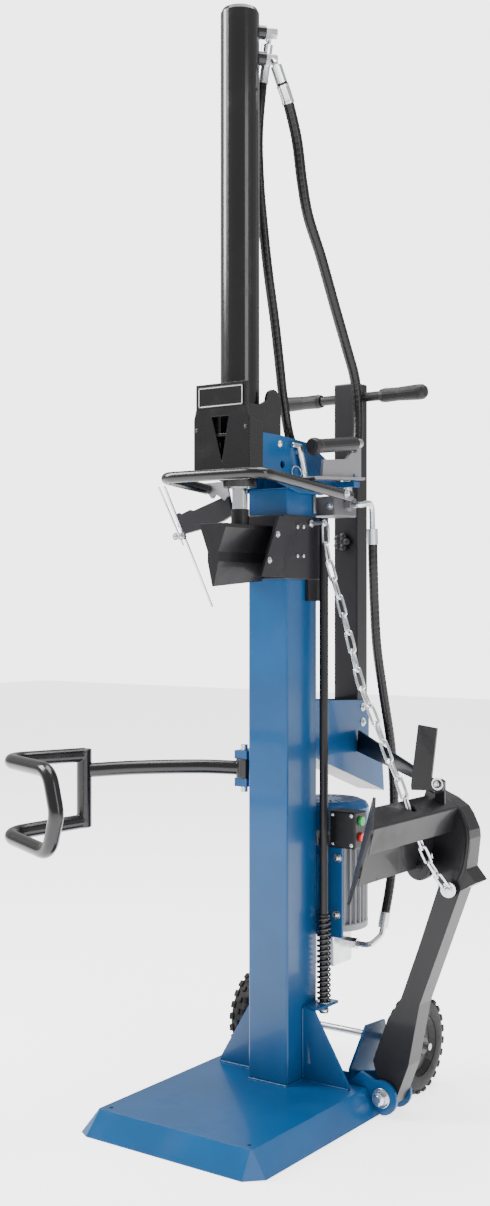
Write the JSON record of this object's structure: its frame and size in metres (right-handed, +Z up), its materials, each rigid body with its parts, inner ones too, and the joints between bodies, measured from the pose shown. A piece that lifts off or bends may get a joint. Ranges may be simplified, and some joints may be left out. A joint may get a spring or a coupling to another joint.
{
  "type": "upright log splitter",
  "caption": "Upright hydraulic log splitter: electric motor and pump, ram with splitting wedge, two-hand controls, swing-down log lifter, catch bow and transport wheels.",
  "frame": {"origin": "on the floor under the splitting axis, at the underside of the base's cross rib", "axes": "+X to the machine's right, where the log lifter hangs; +Y to its back, where the wheels are; +Z up along the ram"},
  "size_m": [0.8499, 0.872, 2.29],
  "materials": {
    "blue_paint": "semi-gloss powder coat",
    "black_paint": "semi-gloss powder coat",
    "dark_grey_paint": "satin powder coat",
    "hard_chrome": "polished hard chrome",
    "zinc_plate": "bright zinc plate",
    "steel": "turned steel",
    "rubber": "wire-braided rubber hose",
    "tyre_rubber": "moulded matt rubber",
    "black_plastic": "moulded, fine grain",
    "grey_aluminium": "painted cast fins",
    "green_plastic": "moulded",
    "red_plastic": "moulded"
  },
  "bodies": {
    "frame": {"base_plate": "blue_paint", "column": "blue_paint", "gusset_left": "blue_paint", "gusset_right": "blue_paint", "head_frame": "blue_paint", "valve_block": "dark_grey_paint", "valve_elbow": "zinc_plate", "control_bow": "black_paint", "rear_bracket": "blue_paint", "rear_post": "black_paint", "handle_bar": "black_paint", "handle_grip_left": "black_plastic", "handle_grip_right": "black_plastic", "motor_housing": "grey_aluminium", "fan_cover": "blue_paint", "motor_plate": "blue_paint", "switch_box": "black_plastic", "pump": "zinc_plate", "pump_elbow": "zinc_plate", "axle": "steel", "axle_bracket_left": "blue_paint", "axle_bracket_right": "blue_paint", "hinge_ear": "blue_paint", "hinge_bolt": "zinc_plate", "catch_hinge": "blue_paint", "catch_pin": "zinc_plate", "stroke_spring": "black_paint", "hose_extend": "rubber", "hose_retract": "rubber", "hose_pressure": "rubber"},
    "cylinder": {"ram_tube": "black_paint", "cylinder_gland": "black_paint", "cylinder_bracket": "black_paint", "nameplate": "dark_grey_paint", "port_fitting_upper": "zinc_plate", "port_fitting_lower": "zinc_plate"},
    "slider": {"piston": "steel", "piston_rod": "hard_chrome", "wedge": "black_paint", "carriage": "dark_grey_paint"},
    "pin": {"locking_pin": "zinc_plate"},
    "lever_right": {"control_lever_right": "dark_grey_paint", "lever_grip_right": "black_plastic"},
    "lever_left": {"control_lever_left": "dark_grey_paint", "lever_grip_left": "black_plastic", "claw_plate": "dark_grey_paint"},
    "rotor": {"motor_rotor": "steel"},
    "start": {"start_button": "green_plastic"},
    "stop": {"stop_button": "red_plastic"},
    "rod": {"stroke_rod": "black_paint"},
    "wheel_right": {"rim_right": "black_plastic", "tyre_right": "tyre_rubber"},
    "wheel_left": {"rim_left": "black_plastic", "tyre_left": "tyre_rubber"},
    "lifter": {"lifter_arm": "black_paint", "lifter_beam": "black_paint", "lifter_claw": "black_paint"},
    "lock": {"lock_lever": "black_paint"},
    "bow": {"catch_bow": "black_paint"},
    "chain": {"lift_chain": "zinc_plate"}
  },
  "joints": [
    {"name": "cylinder_lowering", "type": "slide", "parent": "frame", "child": "cylinder", "axis": [0, 0, -1], "range_m": [0, 0.36], "deforming": ["hose_extend", "hose_retract", "lift_chain"]},
    {"name": "splitting_stroke", "type": "slide", "parent": "cylinder", "child": "slider", "axis": [0, 0, -1], "range_m": [0, 0.48], "deforming": ["lift_chain"]},
    {"name": "pin_pull", "type": "slide", "parent": "frame", "child": "pin", "axis": [1, 0, 0], "range_m": [0, 0.0145]},
    {"name": "lever_right_swing", "type": "hinge", "parent": "frame", "child": "lever_right", "pos_m": [0.112, 0.262, 1.331], "axis": [0, 0, 1], "range_deg": [0, 25], "stiffness_Nm_per_rad": 6},
    {"name": "lever_left_swing", "type": "hinge", "parent": "frame", "child": "lever_left", "pos_m": [-0.112, 0.262, 1.331], "axis": [0, 0, -1], "range_deg": [0, 25], "stiffness_Nm_per_rad": 6},
    {"name": "motor_spin", "type": "hinge", "parent": "frame", "child": "rotor", "pos_m": [0, 0.344, 0.345], "axis": [0, 0, 1], "continuous": true},
    {"name": "start_press", "type": "slide", "parent": "frame", "child": "start", "axis": [-1, 0, 0], "range_m": [0, 0.003], "stiffness_N_per_m": 600},
    {"name": "stop_press", "type": "slide", "parent": "frame", "child": "stop", "axis": [-1, 0, 0], "range_m": [0, 0.003], "stiffness_N_per_m": 600},
    {"name": "rod_slide", "type": "slide", "parent": "frame", "child": "rod", "axis": [0, 0, -1], "range_m": [0, 0.03], "stiffness_N_per_m": 1500, "springref_m": -0.03, "deforming": ["stroke_spring"]},
    {"name": "wheel_right_spin", "type": "hinge", "parent": "frame", "child": "wheel_right", "pos_m": [0.202, 0.37, 0.105], "axis": [1, 0, 0], "continuous": true},
    {"name": "wheel_left_spin", "type": "hinge", "parent": "frame", "child": "wheel_left", "pos_m": [-0.202, 0.37, 0.105], "axis": [1, 0, 0], "continuous": true},
    {"name": "lifter_swing", "type": "hinge", "parent": "frame", "child": "lifter", "pos_m": [0.222, 0.232, 0.04], "axis": [0, 1, 0], "range_deg": [0, 68], "deforming": ["lift_chain"]},
    {"name": "lock_lever_turn", "type": "hinge", "parent": "lifter", "child": "lock", "pos_m": [0.3706, 0.163, 0.7066], "axis": [0, 1, 0], "range_deg": [0, 60]},
    {"name": "catch_swing", "type": "hinge", "parent": "frame", "child": "bow", "pos_m": [-0.082, 0.13, 0.711], "axis": [0, 0, 1], "range_deg": [-70, 25]},
    {"name": "chain_swing", "type": "hinge", "parent": "slider", "child": "chain", "pos_m": [0.0985, 0.172, 1.233], "axis": [-0.421, -0.9071, 0], "range_deg": [0, 12], "deforming": ["lift_chain"]}
  ],
  "couplings": [
    {"joint": "chain_swing", "follows": "lifter_swing", "ratio": 0.17647}
  ]
}
